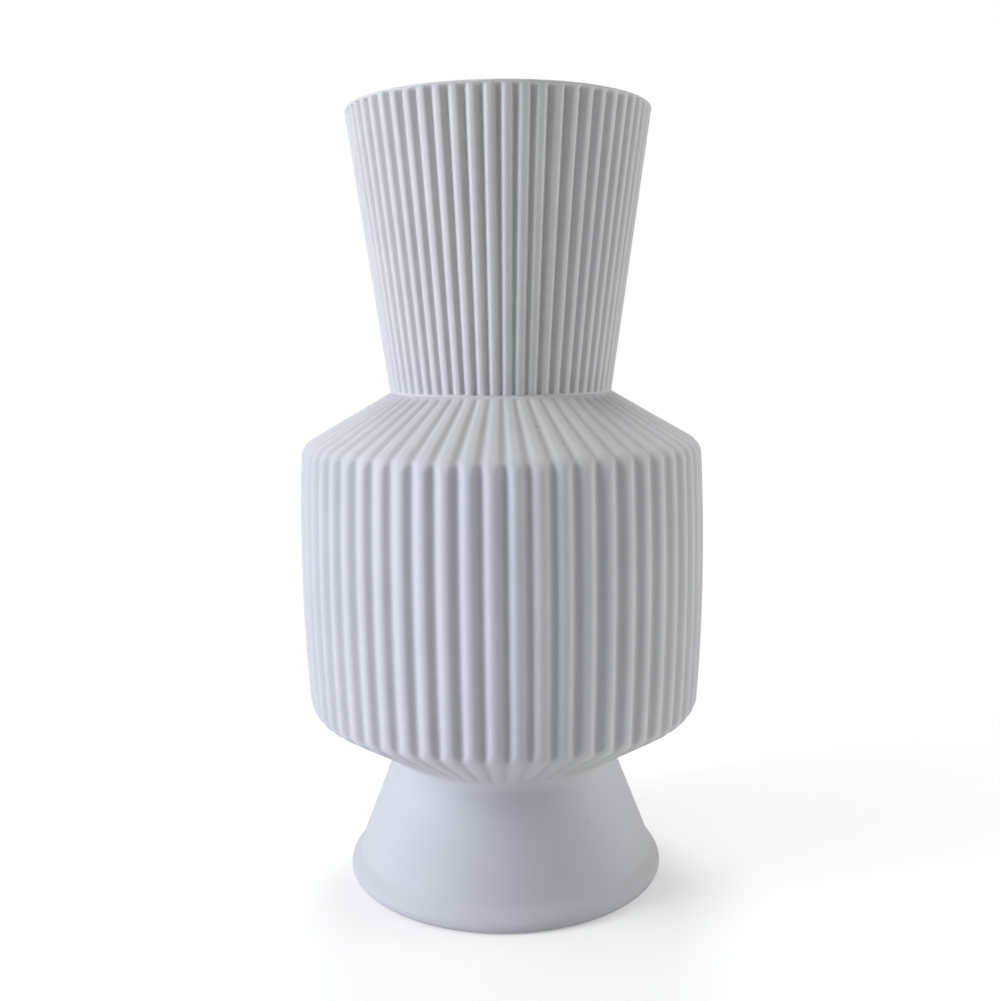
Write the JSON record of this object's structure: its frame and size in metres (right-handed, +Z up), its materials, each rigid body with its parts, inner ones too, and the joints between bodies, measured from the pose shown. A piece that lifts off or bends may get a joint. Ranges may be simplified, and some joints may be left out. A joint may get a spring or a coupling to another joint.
{
  "type": "ribbed ceramic vase",
  "caption": "Tall matt white ceramic vase: flared ribbed neck, sloping ribbed shoulder, barrel belly with vertical ribs, and a smooth flared foot.",
  "frame": {"origin": "centre of the foot ring, on the surface the vase stands on", "axes": "+Z up along the vase's axis; -Y is the side that faces the camera in the picture; a groove lies on each of +X, -X, +Y and -Y"},
  "size_m": [0.1586, 0.1586, 0.3],
  "materials": {
    "matt_white": "matt white stoneware, smooth and dry to the touch",
    "slip_white": "matt white fired slip, wiped smooth",
    "bare_clay": "unglazed white clay, slightly rough",
    "clear_glaze": "glossy waterproof glaze over white clay"
  },
  "bodies": {
    "root": {"neck": "matt_white", "neck_seam": "slip_white", "belly": "matt_white", "waist_seam": "slip_white", "foot": "matt_white", "base_seam": "slip_white", "base": "bare_clay", "inner_glaze": "clear_glaze"}
  },
  "joints": []
}
